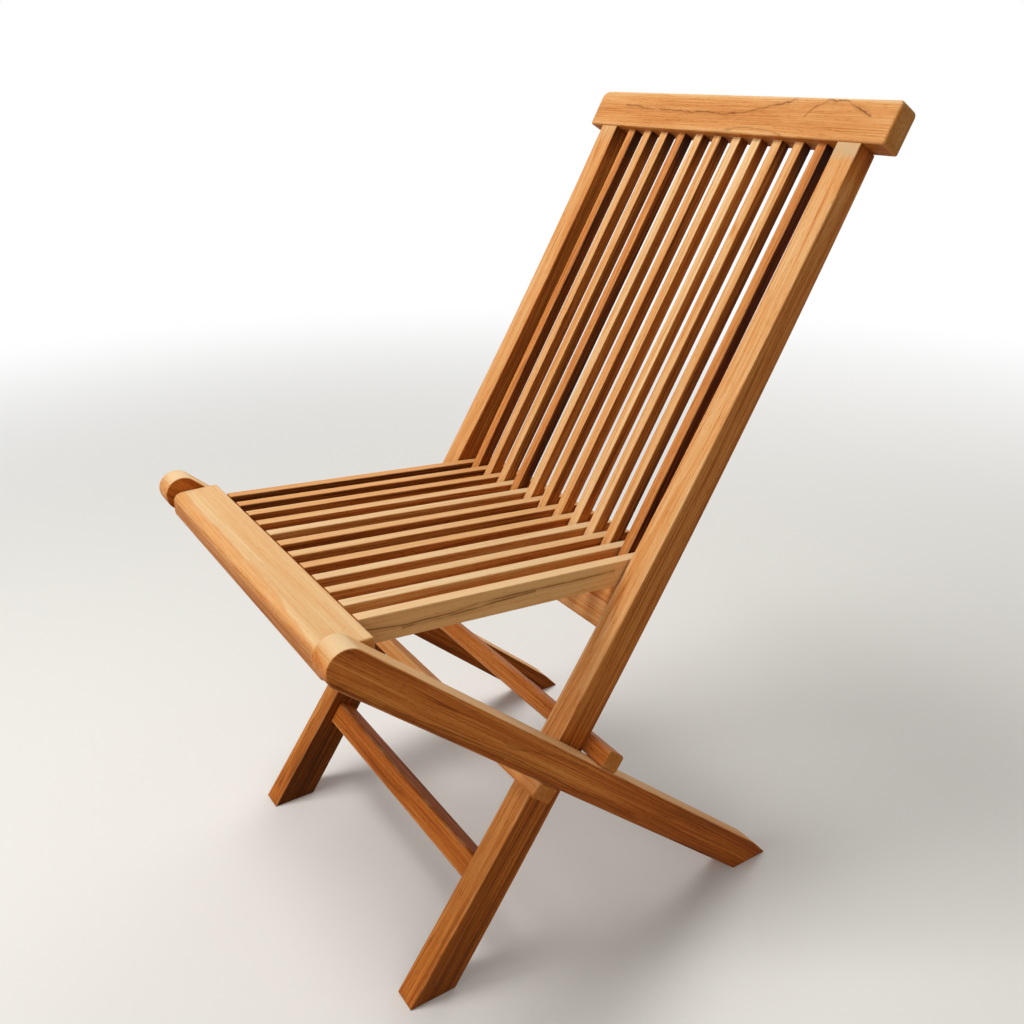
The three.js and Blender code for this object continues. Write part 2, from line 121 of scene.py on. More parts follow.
def stile_point(height, depth_share):
    """The front face is a parabola through the foot whose slope runs evenly from the foot's to the head's.
    A depth share moves the point square to that face, 1 being the rear face."""
    along = np.asarray(height, float) / HEAD_HEIGHT
    slope = FOOT_SLOPE + (HEAD_SLOPE - FOOT_SLOPE) * along
    lean = np.arctan(slope)
    depth = (STILE_FOOT_DEPTH + (STILE_HEAD_DEPTH - STILE_FOOT_DEPTH) * along) * depth_share
    front = (FOOT_SLOPE + (HEAD_SLOPE - FOOT_SLOPE) * along / 2) * height
    return side_plane(FOOT_PLACE + front + np.cos(lean) * depth, height - np.sin(lean) * depth)


def section_rings(low, high, across, width, arris, inset):
    """One closed ring per station: a rectangle from low to high by width along across, whose corners are
    arcs of the arris radii. Each ring is drawn in by its inset, which takes the same off each radius."""
    depth = np.linalg.norm(high - low, axis=1)
    upward = (high - low) / depth[:, None]
    half = np.stack([width, depth], axis=1)[:, None, :] / 2
    radius = np.maximum(arris, inset[:, None] + LEAST_RADIUS)
    centres = CORNERS * (half - radius[:, :, None])
    start = np.arctan2(CORNERS[:, 1], CORNERS[:, 0]) - math.pi / 4
    turn = start[:, None] + np.linspace(0, math.pi / 2, ARC_STEPS + 1)
    radial = np.stack([np.cos(turn), np.sin(turn)], axis=-1)
    reach = (radius - inset[:, None])[:, :, None, None]
    arcs = centres[:, :, None, :] + reach * radial
    following = np.roll(arcs, -1, axis=1)[:, :, 0]
    flats = arcs[:, :, -1, None, :] + (following - arcs[:, :, -1])[:, :, None, :] * FLAT_SHARES[:, None]
    flat_places = np.concatenate([arcs, flats], axis=2).reshape(len(low), -1, 2)
    middle = (low + high) / 2
    rings = middle[:, None] + flat_places[..., :1] * across + flat_places[..., 1:] * upward[:, None]
    worn = np.concatenate([np.ones(ARC_STEPS + 1), np.zeros(len(FLAT_SHARES))])
    return rings, flat_places, np.tile(worn, 4)


def eased_ends(low, high, columns, ease):
    """Within the ease of each end the stations sit on a quarter circle of that radius, so that the end
    arrises are round, and one more lies inside each end face. The columns go with the stations."""
    steps = [np.linalg.norm(np.diff(edge, axis=0), axis=1) for edge in (low, high)]
    along = np.concatenate([[0], np.cumsum((steps[0] + steps[1]) / 2)])
    length = along[-1]
    back = ease * (1 - np.sin(np.linspace(0, math.pi / 2, END_STEPS + 1)))
    kept = along[(along > EASE_CLEAR * ease) & (along < length - EASE_CLEAR * ease)]
    places = np.concatenate([[0], back[::-1], kept, length - back, [length]])
    table = np.concatenate([low, high, columns], axis=1)
    moved = np.stack([np.interp(places, along, column) for column in table.T], axis=1)
    left = np.clip(np.minimum(places, length - places) / ease, 0, 1)
    inset = ease * (1 - np.sqrt(1 - (1 - left) ** 2))
    inset[[0, -1]] = ease * END_INSET
    return moved[:, :3], moved[:, 3:6], moved[:, 6:], inset, 1 - left


def board(name, low, high, across, width, arris, ease, seed, veins=(), cut_more=0.0):
    """A board as a rounded rectangle carried along its grain. Each point keeps its place in the timber it
    was sawn from, how far it is worn as part of an arris and how far the grain is cut across there. Each dark
    vein is a height over the lower face given along the board, and each point keeps its height over it."""
    columns = np.zeros((len(low), 6))
    columns[:, 0] = width
    columns[:, 1:5] = arris
    columns[:, 5] = cut_more
    low, high, columns, inset, cut = eased_ends(low, high, columns, ease)
    across, width, arris = np.asarray(across, float), columns[:, 0], columns[:, 1:5]
    rings, flat_places, worn = section_rings(low, high, across, width, arris, inset)
    cut = np.maximum(cut, columns[:, 5])
    stations, points = rings.shape[:2]
    middle = (low + high) / 2
    along = np.concatenate([[0], np.cumsum(np.linalg.norm(np.diff(middle, axis=0), axis=1))])
    climb = flat_places[..., 1] + np.linalg.norm(high - low, axis=1)[:, None] / 2
    over = np.full(rings.shape, NO_VEIN)
    for index, (spots, heights) in enumerate(veins):
        over[..., index] = climb - np.interp(along, spots, heights, NO_VEIN, NO_VEIN)[:, None]
    chance = np.random.default_rng(seed)
    pith_side = chance.uniform(-PITH_ASIDE, PITH_ASIDE)
    pith = np.array([pith_side, chance.uniform(PITH_NEAR, PITH_FAR) * chance.choice([-1, 1])])
    grain = np.empty(rings.shape)
    grain[..., :2] = flat_places + pith
    grain[..., 2] = along[:, None] + chance.uniform(0, TRUNK_LENGTH)
    touch = np.zeros(rings.shape)
    touch[..., 0] = worn
    touch[..., 1] = cut[:, None]
    here = np.arange(stations * points).reshape(stations, points)
    ahead = np.roll(here, -1, axis=1)
    sides = np.stack([here[:-1], ahead[:-1], ahead[1:], here[1:]], axis=-1).reshape(-1, 4)
    flat = rings.reshape(-1, 3)
    corner = flat[sides] - flat[0]
    volume = np.einsum("ij,ij->i", corner[:, 0], np.cross(corner[:, 1], corner[:, 2]))
    volume += np.einsum("ij,ij->i", corner[:, 0], np.cross(corner[:, 2], corner[:, 3]))
    outward = volume.sum() > 0
    faces = (sides if outward else sides[:, ::-1]).tolist()
    first, last = here[0].tolist(), here[-1].tolist()
    faces += [first[::-1], last] if outward else [first, last[::-1]]
    mesh = bpy.data.meshes.new(name)
    mesh.from_pydata(flat.tolist(), [], faces)
    mesh.polygons.foreach_set("use_smooth", np.ones(len(faces), bool))
    mesh.update()
    piece = bpy.data.objects.new(name, mesh)
    bpy.context.scene.collection.objects.link(piece)
    for label, values in (("grain", grain), ("touch", touch), ("vein", over)):
        keep_on_points(piece, label, values)
    return piece


def keep_on_points(piece, label, values):
    """Writes an attribute of three numbers for each of the piece's points."""
    held = piece.data.attributes.new(label, "FLOAT_VECTOR", "POINT")
    held.data.foreach_set("vector", np.ascontiguousarray(values, dtype=np.float32).ravel())


def points_of(piece, kind="co"):
    """The places of the piece's points, or their normals."""
    values = np.empty(len(piece.data.vertices) * 3, np.float32)
    if kind == "co":
        piece.data.vertices.foreach_get("co", values)
    else:
        piece.data.vertex_normals.foreach_get("vector", values)
    return values.reshape(-1, 3)


def season(piece, tone, redness, calm=0.0, sky=1.0, flank=1.0, shade=0.0, head=0.0, outer=False,
           heart=0.0):
    """The board's own tone, redness and calm, and its painted light and shade. Faces to the sky are painted
    paler by the sky share, partly as sun bleach and partly as painted light, and a share below nothing paints
    them darker as painted shade. Faces to the side or the floor get painted shade by the flank share, less on
    the outward side of an outer board, and a painted shadow close under the top rail by the head share. Every
    face gets painted shade towards the floor by the shade share. The heart is how far each point lies towards
    the edge that holds red heartwood."""
    places, facing = points_of(piece), points_of(piece, "normal")
    turned = np.clip(np.maximum(np.abs(facing[:, 0]), -facing[:, 2]), 0, 1) ** 2
    outward = outer & (facing[:, 0] * places[:, 0] > 0)
    # Painted light and shade: tops paler, and turned faces, low faces and sides under the top rail darker.
    painted_light_and_bleach = sky * np.clip((facing[:, 2] - SKY_START) / SKY_SPAN, 0, 1)
    painted_light_and_bleach -= flank * turned * np.where(outward, OUTER_DEPTH, 1.0)
    painted_light_and_bleach -= shade * np.clip(1 - places[:, 2] / SHADE_START, 0, 1) ** SHADE_POWER
    painted_light_and_bleach -= head * turned * np.clip(1 - (HEAD_HEIGHT - places[:, 2]) / RAIL_SHADOW_REACH, 0, 1)
    columns = np.zeros((2, len(places), 3))
    columns[0] = (tone, redness, calm)
    columns[1, :, 0] = painted_light_and_bleach
    columns[1, :, 1] = heart
    keep_on_points(piece, "board", columns[0])
    keep_on_points(piece, "season", columns[1])


# The finish: oiled teak sanded fine. Honey coloured ground, darker late wood in uneven rings, long fine
# pores, a paler skin on the arrises, brown end grain, and thin dark veins in the boards that have them.
# Painted light and shade: tops paler, partly as sun bleach, and turned or low faces darker.
RINGS_PER_METRE = 160.0
LINES_PER_METRE = 80.0
RING_BEND = 0.030
LATE_DEPTH, LATE_CALMED = 0.13, -0.09
LINE_DEPTH, LINE_CALMED = 0.32, -0.26
FIBRE_DEPTH, BAND_DEPTH, SLOW_DEPTH = 0.74, 0.62, 0.36
PORE_DEPTH = 0.18
GROUND_START = 0.25
BLEACH_AND_TOP_LIGHT, PAINTED_SHADE_DEPTH = -0.56, 0.22
HEART_EDGE = (0.0385, 0.0420)
HEART_WAVE, HEART_DEPTH, HEART_REDNESS = 0.012, 0.12, 0.15
END_COVER = 0.75
VEIN_CORE, VEIN_HALO, HALO_SHARE = 0.0013, 0.005, 0.28
VEIN_WEIGHTS = (0.75, 0.80, 0.45)
VEIN_STRAY, VEIN_STRAY_CALM = 0.0015, 0.0065
OIL_GLOSS = 0.08
LATE_WOOD = [
    (0.0, (0, 0, 0, 1)), (0.45, (0.15, 0.15, 0.15, 1)), (0.86, (1, 1, 1, 1)), (1.0, (0.02, 0.02, 0.02, 1)),
]
TEAK_GROUND = [
    (0.0, "EDCFA2"), (0.13, "E4BA85"), (0.30, "DA9B5C"), (0.48, "C27A3E"), (0.66, "9C5A28"),
    (0.84, "70401A"), (1.0, "46260E"),
]


def tint(code):
    """A colour from its six hex digits, as the shader's linear values."""
    parts = [int(code[place:place + 2], 16) / 255 for place in (0, 2, 4)]
    return [part / 12.92 if part < 0.04045 else ((part + 0.055) / 1.055) ** 2.4 for part in parts] + [1]


def fill(socket, value):
    """Links a socket to another, or writes a plain value into it."""
    if isinstance(value, bpy.types.NodeSocket):
        socket.id_data.links.new(value, socket)
    elif hasattr(socket.default_value, "__len__") and not hasattr(value, "__len__"):
        socket.default_value = [value] * len(socket.default_value)
    else:
        socket.default_value = value


def placed(tree, kind, inputs, **settings):
    """Adds a node with its settings, and fills its inputs by number or name."""
    made = tree.nodes.new(kind)
    for setting, value in settings.items():
        setattr(made, setting, value)
    for key, value in inputs.items():
        fill(made.inputs[key], value)
    return made


def sums(tree, operation, *values):
    """A Math node's result."""
    return placed(tree, "ShaderNodeMath", dict(enumerate(values)), operation=operation).outputs[0]


def vectors(tree, operation, first, second):
    """A Vector Math node's result."""
    return placed(tree, "ShaderNodeVectorMath", {0: first, 1: second}, operation=operation).outputs[0]


def stretched(tree, vector, scale):
    """The vector with each part multiplied by its own scale."""
    return vectors(tree, "MULTIPLY", vector, scale)


def cloud(tree, vector, scale, detail=2.0, roughness=0.5):
    """Noise from 0 to 1 in a vector stretched by the scale."""
    inputs = {"Vector": stretched(tree, vector, scale), "Scale": 1.0, "Detail": detail}
    return placed(tree, "ShaderNodeTexNoise", {**inputs, "Roughness": roughness})


def eased(tree, value, start, end, low=0.0, high=1.0):
    """A smooth step of value from low to high between start and end."""
    inputs = {"Value": value, "From Min": start, "From Max": end, "To Min": low, "To Max": high}
    return placed(tree, "ShaderNodeMapRange", inputs, interpolation_type="SMOOTHSTEP").outputs[0]


def blended(tree, share, first, second, blend_type="MIX"):
    """Two colours mixed by a share."""
    made = placed(tree, "ShaderNodeMix", {}, data_type="RGBA", blend_type=blend_type)
    fill(made.inputs[0], share)
    fill(made.inputs[6], first)
    fill(made.inputs[7], second)
    return made.outputs[2]


def ramp(tree, value, stops):
    """A colour ramp with stops of place and colour."""
    made = placed(tree, "ShaderNodeValToRGB", {0: value})
    elements = made.color_ramp.elements
    while len(elements) < len(stops):
        elements.new(0.5)
    for element, (place, colour) in zip(elements, stops):
        element.position = place
        element.color = colour
    return made.outputs[0]


def blank_material(name):
    """A material without nodes, and its tree."""
    material = bpy.data.materials.new(name)
    material.use_nodes = True
    material.node_tree.nodes.clear()
    return material, material.node_tree


def kept(tree, label, part="Vector"):
    """What a piece keeps on its points under this label."""
    return placed(tree, "ShaderNodeAttribute", {}, attribute_name=label).outputs[part]


def thirds(tree, vector):
    """The three numbers of a vector."""
    return placed(tree, "ShaderNodeSeparateXYZ", {0: vector}).outputs[:3]


def oiled_teak(name):
    """Rings are even shells round a pith line beside the board, bent by slow noise. Their late wood, fine
    fibre, pores, broad bands, a few dark lines and the board's own tone add up to one number, which a ramp
    turns to colour. Faces to the sky are painted paler, partly as sun bleach and partly as painted light, and
    faces to the side or the floor are painted darker as shade. End grain, redness, veins, the scraped place
    and rubbed arrises are laid over that."""
    material, tree = blank_material(name)
    grain = kept(tree, "grain")
    tone, redness, calm = thirds(tree, kept(tree, "board"))
    worn, cut = thirds(tree, kept(tree, "touch"))[:2]
    painted_light_and_bleach, towards = thirds(tree, kept(tree, "season"))[:2]
    # Painted light and shade: the positive part paints tops paler, partly as sun bleach, and the negative
    # part is painted shade.
    bleached_and_lit = sums(tree, "MAXIMUM", painted_light_and_bleach, 0.0)
    painted_shade = sums(tree, "MAXIMUM", sums(tree, "MULTIPLY", painted_light_and_bleach, -1.0), 0.0)

    wander = cloud(tree, grain, (14, 14, 2.0)).outputs["Color"]
    centred = vectors(tree, "SUBTRACT", wander, (0.5, 0.5, 0.5))
    bent = vectors(tree, "ADD", stretched(tree, centred, (RING_BEND, RING_BEND, 0)), grain)
    across = {0: stretched(tree, bent, (1, 1, 0))}
    shell = placed(tree, "ShaderNodeVectorMath", across, operation="LENGTH").outputs["Value"]
    uneven = cloud(tree, bent, (60, 60, 1.2)).outputs["Fac"]
    ring_count = sums(tree, "MULTIPLY", shell, RINGS_PER_METRE)
    rings = sums(tree, "FRACT", sums(tree, "MULTIPLY_ADD", uneven, 3.0, ring_count))
    late = placed(tree, "ShaderNodeSeparateColor", {0: ramp(tree, rings, LATE_WOOD)}).outputs[0]
    line_count = sums(tree, "MULTIPLY", shell, LINES_PER_METRE)
    course = sums(tree, "FRACT", sums(tree, "MULTIPLY_ADD", uneven, 2.2, line_count))
    aside = sums(tree, "ABSOLUTE", sums(tree, "SUBTRACT", course, 0.5))
    shown = eased(tree, cloud(tree, bent, (90, 90, 1.5)).outputs["Fac"], 0.46, 0.64)
    dark_line = sums(tree, "MULTIPLY", eased(tree, aside, 0.01, 0.075, 1.0, 0.0), shown)
    fibre = cloud(tree, grain, (700, 700, 9), 3.0, 0.65).outputs["Fac"]
    pores = eased(tree, cloud(tree, grain, (1300, 1300, 110), 1.0).outputs["Fac"], 0.60, 0.72)
    bands = cloud(tree, bent, (48, 48, 0.9), 2.0).outputs["Fac"]
    slow = cloud(tree, grain, (10, 10, 2.4), 2.0).outputs["Fac"]

    late_depth = sums(tree, "MULTIPLY_ADD", calm, LATE_CALMED, LATE_DEPTH)
    shade = sums(tree, "MULTIPLY_ADD", late, late_depth, GROUND_START)
    for unevenness, depth in ((fibre, FIBRE_DEPTH), (bands, BAND_DEPTH), (slow, SLOW_DEPTH)):
        shade = sums(tree, "MULTIPLY_ADD", sums(tree, "SUBTRACT", unevenness, 0.5), depth, shade)
    line_depth = sums(tree, "MULTIPLY_ADD", calm, LINE_CALMED, LINE_DEPTH)
    shade = sums(tree, "MULTIPLY_ADD", dark_line, line_depth, shade)
    shade = sums(tree, "MULTIPLY_ADD", pores, PORE_DEPTH, sums(tree, "ADD", shade, tone))
    # Painted light moves tops to the pale end of the ramp, and painted shade moves turned and low faces to
    # the dark end.
    shade = sums(tree, "MULTIPLY", shade, sums(tree, "MULTIPLY_ADD", bleached_and_lit, BLEACH_AND_TOP_LIGHT, 1.0))
    shade = sums(tree, "MULTIPLY_ADD", painted_shade, PAINTED_SHADE_DEPTH, shade)
    wave = sums(tree, "SUBTRACT", cloud(tree, grain, (40, 40, 16), 3.0).outputs["Fac"], 0.5)
    heart = eased(tree, sums(tree, "MULTIPLY_ADD", wave, HEART_WAVE, towards), *HEART_EDGE)
    shade = sums(tree, "MULTIPLY_ADD", heart, HEART_DEPTH, shade)
    ground = ramp(tree, shade, [(place, tint(code)) for place, code in TEAK_GROUND])
    ends = eased(tree, cloud(tree, grain, (1600, 1600, 900), 2.0).outputs["Fac"], 0.35, 0.65)
    end_colour = blended(tree, ends, tint("D89A52"), tint("A46C36"))
    ground = blended(tree, sums(tree, "MULTIPLY", cut, END_COVER), ground, end_colour)
    reddened = sums(tree, "MULTIPLY", redness, sums(tree, "MULTIPLY_ADD", bleached_and_lit, -0.5, 1.0))
    reddened = sums(tree, "MULTIPLY_ADD", heart, HEART_REDNESS, reddened)
    ground = blended(tree, reddened, ground, tint("FFE0B8"), "MULTIPLY")
    # Painted shade also makes the colour more saturated, as wood looks in shade.
    ground = blended(tree, painted_shade, ground, tint("FCEDBF"), "MULTIPLY")

    wobble = sums(tree, "SUBTRACT", cloud(tree, grain, (90, 90, 60), 3.0, 0.6).outputs["Fac"], 0.5)
    stray = sums(tree, "MULTIPLY_ADD", calm, VEIN_STRAY_CALM, VEIN_STRAY)
    stray = sums(tree, "MULTIPLY", wobble, stray)
    broken = eased(tree, cloud(tree, grain, (120, 120, 30)).outputs["Fac"], 0.30, 0.56, 0.35, 1.0)
    for distance, weight in zip(thirds(tree, kept(tree, "vein")), VEIN_WEIGHTS):
        gap = sums(tree, "ABSOLUTE", sums(tree, "ADD", distance, stray))
        core = eased(tree, gap, 0.0002, VEIN_CORE, weight, 0.0)
        halo = eased(tree, gap, 0.0, VEIN_HALO, HALO_SHARE * weight, 0.0)
        line = sums(tree, "MULTIPLY", sums(tree, "MAXIMUM", core, halo), broken)
        ground = blended(tree, line, ground, tint("75390D"))
    scraped = kept(tree, "scraped", "Fac")
    patchy = eased(tree, cloud(tree, grain, (260, 260, 120), 2.0).outputs["Fac"], 0.30, 0.60, 0.55, 0.90)
    ground = blended(tree, sums(tree, "MULTIPLY", scraped, patchy), ground, tint("CCAB80"))
    rubbed = eased(tree, cloud(tree, grain, (260, 260, 30)).outputs["Fac"], 0.35, 0.65, 0.0, 0.16)
    ground = blended(tree, sums(tree, "MULTIPLY", worn, rubbed), ground, tint("F0C890"))

    sheen = eased(tree, fibre, 0.3, 0.7, 0.46, 0.62)
    height = sums(tree, "MULTIPLY_ADD", pores, -0.8, sums(tree, "MULTIPLY_ADD", late, 0.2, fibre))
    bump = placed(tree, "ShaderNodeBump", {"Height": height, "Strength": 0.3, "Distance": 0.0005})
    skin = placed(tree, "ShaderNodeBsdfPrincipled", {
        "Base Color": ground, "Roughness": sheen, "Normal": bump.outputs[0], "Specular IOR Level": OIL_GLOSS,
    })
    placed(tree, "ShaderNodeOutputMaterial", {0: skin.outputs[0]})
    return material


TEAK = oiled_teak("oiled_teak")


def finish_piece(piece, body, node):
    """The finish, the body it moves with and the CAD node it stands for."""
    piece.data.materials.append(TEAK)
    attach(piece, body)
    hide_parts(node)


def make_stile(hand, seed, tone, redness):
    """The front and rear faces as paths from the flat sole to the shoulder under the top rail. The rear one
    starts where it meets the floor, found in rounds. The front is scraped pale just under the shoulder."""
    lowest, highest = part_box(f"stile_{hand}")
    sole = 0.0
    for _ in range(SOLE_ROUNDS):
        depth = STILE_FOOT_DEPTH + (STILE_HEAD_DEPTH - STILE_FOOT_DEPTH) * sole / HEAD_HEIGHT
        slope = FOOT_SLOPE + (HEAD_SLOPE - FOOT_SLOPE) * sole / HEAD_HEIGHT
        sole = depth * math.sin(math.atan(slope))
    middle = np.array([(lowest[0] + highest[0]) / 2, 0, 0])
    share = np.linspace(0, 1, STILE_RINGS)
    shoulder = HEAD_HEIGHT - JOINT_GAP
    front = stile_point(shoulder * share, 0) + middle
    rear = stile_point(sole + (shoulder - sole) * share, 1) + middle
    width = highest[0] - lowest[0]
    piece = board(f"stile_board_{hand}", front, rear, (1, 0, 0), width, STILE_ARRIS, STILE_EASE, seed)
    # Painted shade: darker towards the floor, and a painted shadow on the sides under the top rail.
    season(piece, tone, redness, shade=1.6, head=1.6, outer=True)
    below = shoulder - points_of(piece)[:, 2]
    in_front = points_of(piece, "normal")[:, 1] < FACING_FRONT
    bared = np.clip((SCRAPED_BAND - below) / SCRAPED_BLUR, 0, 1)
    scraped = piece.data.attributes.new("scraped", "FLOAT", "POINT")
    scraped.data.foreach_set("value", SCRAPED[hand] * in_front * bared)
    finish_piece(piece, "back_frame", f"stile_{hand}")


make_stile("left", 11, 0.03, 0.3)
make_stile("right", 12, 0.0, 0.3)

# Top rail
# A teak board across the heads of both stiles, flush with their fronts, on tenons. Its upper corners are
# round, its arrises are soft from sanding, and thin dark veins wander over its face.
RAIL_CORNERS = (0.011, 0.0055)
RAIL_CORNER_STEPS = 9
RAIL_CORNER_SHARE = 0.86
RAIL_CORNER_MOST = 0.97
RAIL_ARRISES = [0.0022, 0.0022, 0.0038, 0.0038]
RAIL_EASE = 0.0040
RAIL_RINGS = 170
HEAD_LEAN = math.atan(HEAD_SLOPE)
UP_HEAD = np.array([0, math.sin(HEAD_LEAN), math.cos(HEAD_LEAN)])
IN_HEAD = np.array([0, math.cos(HEAD_LEAN), -math.sin(HEAD_LEAN)])
HEAD_POINT = stile_point(HEAD_HEIGHT, 0)
RAIL_VEINS = [
    ([-0.18, -0.125, -0.067, -0.029, 0.008, 0.034, 0.049, 0.069, 0.095, 0.104],
     [0.0282, 0.0250, 0.0230, 0.0232, 0.0227, 0.0255, 0.0291, 0.0341, 0.0392, 0.0466]),
    ([0.119, 0.121, 0.131, 0.147, 0.171, 0.178, 0.194, 0.210],
     [0.0120, 0.0221, 0.0348, 0.0435, 0.0428, 0.0384, 0.0339, 0.0266]),
    ([-0.010, 0.007, 0.026, 0.051, 0.087, 0.105], [-0.0010, 0.0016, 0.0051, 0.0086, 0.0050, 0.0010]),
]


def make_top_rail():
    """Stations across the chair. Near each end the upper edge drops along a quarter circle, which is worn
    smaller at the sitter's left. The veins are given from the middle of the rail."""
    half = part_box("top_rail")[1][0]
    turn = np.linspace(0, RAIL_CORNER_SHARE * math.pi / 2, RAIL_CORNER_STEPS)
    far_bend, near_bend = [half - radius + radius * np.sin(turn) for radius in RAIL_CORNERS]
    between = np.linspace(-far_bend[0], near_bend[0], RAIL_RINGS)[1:-1]
    places = np.concatenate([[-half], -far_bend[::-1], between, near_bend, [half]])
    radius = np.where(places < 0, *RAIL_CORNERS)
    past = np.clip(np.abs(places) - (half - radius), 0, RAIL_CORNER_MOST * radius)
    drop = radius - np.sqrt(radius ** 2 - past ** 2)
    low = HEAD_POINT + IN_HEAD * STILE_HEAD_DEPTH / 2 + np.outer(places, (1, 0, 0))
    high = low + (RAIL_FACE - drop)[:, None] * UP_HEAD
    arris = np.tile(RAIL_ARRISES, (len(places), 1))
    veins = [(np.add(spots, half), heights) for spots, heights in RAIL_VEINS]
    piece = board("top_rail_board", low, high, IN_HEAD, STILE_HEAD_DEPTH, arris, RAIL_EASE, 21, veins)
    # Painted light and shade: top paler, sides darker, less so on the outward side.
    season(piece, 0.11, 0.10, calm=1.0, outer=True)
    finish_piece(piece, "back_frame", "top_rail")


make_top_rail()

# Back slats
# Thin upright teak slats tenoned into the top rail and the lower back rail, a little behind the stiles'
# fronts. They are sawn from many boards, so their colour changes from one to the next.
SLAT_HEAD_INSET = 0.0071
SLAT_SETBACK = 0.0058
BACK_SLAT_DEPTH = 0.0142
BACK_SLAT_WIDTH = 0.01285
SLAT_ARRIS = 0.0010
SLAT_RINGS = 40
SHOULDER_EASE = 0.0004
SEAT_TILT = math.radians(4.68)
SEAT_RISE = 0.01555
SEAT_SLAT_DEPTH = 0.0285
SEAT_REST_REACH = 0.3310
SEAT_PIVOT = np.mean(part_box("seat_pin_left"), axis=0)


def seat_point(reach, rise, x=0.0):
    """A place on the seat: level behind the pivot, and square to the seat's top above the pivot."""
    reach, rise = np.broadcast_arrays(np.asarray(reach, float), np.asarray(rise, float))
    height = (rise - math.sin(SEAT_TILT) * reach) / math.cos(SEAT_TILT)
    return side_plane(SEAT_PIVOT[1] + reach, SEAT_PIVOT[2] + height, x)


RAIL_REST = seat_point(SEAT_REST_REACH, SEAT_RISE - SEAT_SLAT_DEPTH - JOINT_GAP)
SLAT_HEAD = HEAD_POINT + IN_HEAD * SLAT_HEAD_INSET
SLAT_FOOT = RAIL_REST + np.array([0, SLAT_SETBACK, 0])
SLAT_LEAN = math.atan2(SLAT_HEAD[1] - SLAT_FOOT[1], SLAT_HEAD[2] - SLAT_FOOT[2])
UP_SLAT = np.array([0, math.sin(SLAT_LEAN), math.cos(SLAT_LEAN)])
IN_SLAT = np.array([0, math.cos(SLAT_LEAN), -math.sin(SLAT_LEAN)])
BACK_SLATS = sorted(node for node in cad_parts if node.startswith("back_slat_"))
BACK_TONES = [0.17, -0.01, -0.01, 0.21, -0.07, 0.01, -0.09, -0.20, -0.01, 0.11, 0.19]
BACK_REDNESS = [0.5, 0.1, 0.1, 0.3, 0.1, 0.1, 0.1, 0.3, 0.2, 0.1, 0.2]


def make_back_slats():
    """Straight slats whose front and rear edges run from the lower rail to the top rail."""
    length = np.linalg.norm(SLAT_HEAD - SLAT_FOOT) - JOINT_GAP
    foot = SLAT_SETBACK * math.sin(SLAT_LEAN)
    climb = np.linspace(JOINT_GAP - foot, length, SLAT_RINGS)
    for index, (node, tone, redness) in enumerate(zip(BACK_SLATS, BACK_TONES, BACK_REDNESS)):
        lowest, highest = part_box(node)
        middle = np.array([(lowest[0] + highest[0]) / 2, 0, 0])
        front = SLAT_FOOT + middle + climb[:, None] * UP_SLAT
        rear = front + IN_SLAT * BACK_SLAT_DEPTH
        name = f"back_slat_board_{index + 1:02d}"
        piece = board(name, front, rear, (1, 0, 0), BACK_SLAT_WIDTH, SLAT_ARRIS, SHOULDER_EASE, 100 + index)
        # Painted shade: the slats' sides darker between them, and a painted shadow under the top rail.
        season(piece, tone, redness, flank=1.4, head=2.0)
        finish_piece(piece, "back_frame", node)


make_back_slats()

# Lower back rail and front stretcher
# Two teak cross rails with tenons in the stiles. The upper one carries the feet of the back slats, and the
# seat slats rest on its front edge. The lower one ties the front legs a hand's breadth above the floor.
CROSS_RAIL_RINGS = 50
LOWER_RAIL_FACE = 0.0525
LOWER_RAIL_THICKNESS = 0.022
LOWER_RAIL_ARRIS = 0.003
STRETCHER_HEIGHT = 0.1233
STRETCHER_FACE = 0.0296
STRETCHER_THICKNESS = 0.0234
STRETCHER_ARRIS = 0.0035
STRETCHER_INSET = 0.012
STILE_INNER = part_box("stile_left")[0][0]


def cross_rail(name, low, high, across, thickness, arris, half, ease, seed):
    """A rail from side to side of one section, given by the middles of its lower and upper faces."""
    places = np.outer(np.linspace(-half, half, CROSS_RAIL_RINGS), (1, 0, 0))
    return board(name, low + places, high + places, across, thickness, arris, ease, seed)


def make_frame_rails():
    """Both rails lean as the back does where they stand."""
    half = STILE_INNER - JOINT_GAP
    middle = RAIL_REST + IN_SLAT * LOWER_RAIL_THICKNESS / 2
    low = middle - UP_SLAT * LOWER_RAIL_FACE
    piece = cross_rail("lower_rail_board", low, middle, IN_SLAT, LOWER_RAIL_THICKNESS, LOWER_RAIL_ARRIS, half,
                       SHOULDER_EASE, 31)
    season(piece, 0.04, 0.4)
    finish_piece(piece, "back_frame", "lower_back_rail")
    lean = math.atan(FOOT_SLOPE + (HEAD_SLOPE - FOOT_SLOPE) * STRETCHER_HEIGHT / HEAD_HEIGHT)
    upward = np.array([0, math.sin(lean), math.cos(lean)])
    inward = np.array([0, math.cos(lean), -math.sin(lean)])
    middle = stile_point(STRETCHER_HEIGHT, 0) + inward * (STRETCHER_INSET + STRETCHER_THICKNESS / 2)
    low = middle - upward * STRETCHER_FACE / 2
    high = middle + upward * STRETCHER_FACE / 2
    piece = cross_rail("stretcher_board", low, high, inward, STRETCHER_THICKNESS, STRETCHER_ARRIS, half,
                       SHOULDER_EASE, 32)
    # Painted shade: the top darkened as a painted shadow of the seat, and all darker towards the floor.
    season(piece, 0.07, 0.6, sky=-1.5, shade=0.5)
    finish_piece(piece, "back_frame", "front_stretcher")


make_frame_rails()

